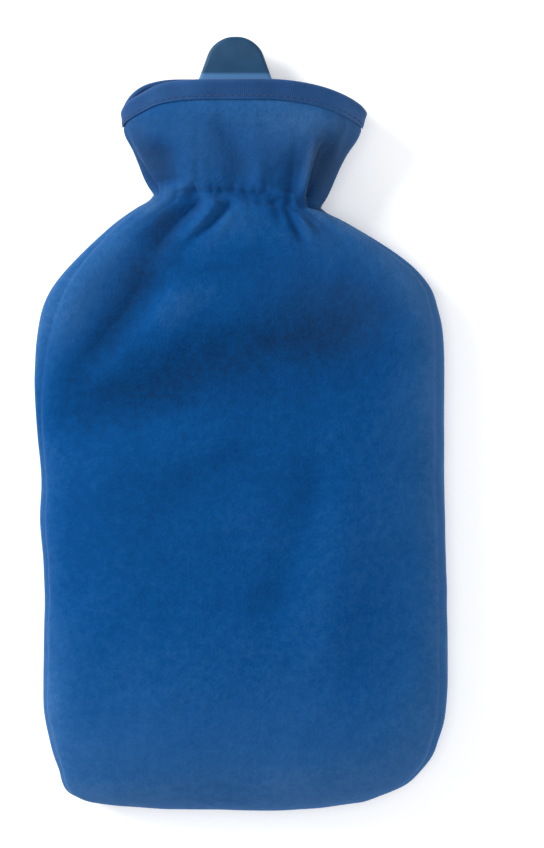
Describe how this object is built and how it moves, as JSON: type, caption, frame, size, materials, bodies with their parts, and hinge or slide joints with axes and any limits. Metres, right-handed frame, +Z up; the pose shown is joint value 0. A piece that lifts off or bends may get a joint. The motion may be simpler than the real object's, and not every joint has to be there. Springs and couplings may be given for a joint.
{
  "type": "hot water bottle in a fleece cover",
  "caption": "Fitted fleece cover for a hot water bottle, lying on its back, with a gathered neck, a flared collar with a bound edge, and the bottle's rubber tab standing out of it.",
  "frame": {"origin": "under the middle of the bounding box, on the surface that the object lies on", "axes": "+Y from the closed bottom edge to the mouth of the collar, +X to the right as seen from above, +Z up out of the front"},
  "size_m": [0.1997, 0.3759, 0.0443],
  "materials": {
    "fleece": "brushed royal blue fleece with a short soft pile",
    "binding": "slightly darker blue folded binding, matt",
    "rubber": "smooth teal rubber with a soft sheen"
  },
  "bodies": {
    "root": {"front_panel": "fleece", "back_panel": "fleece", "mouth_binding": "binding", "bottle": "rubber"}
  },
  "joints": []
}
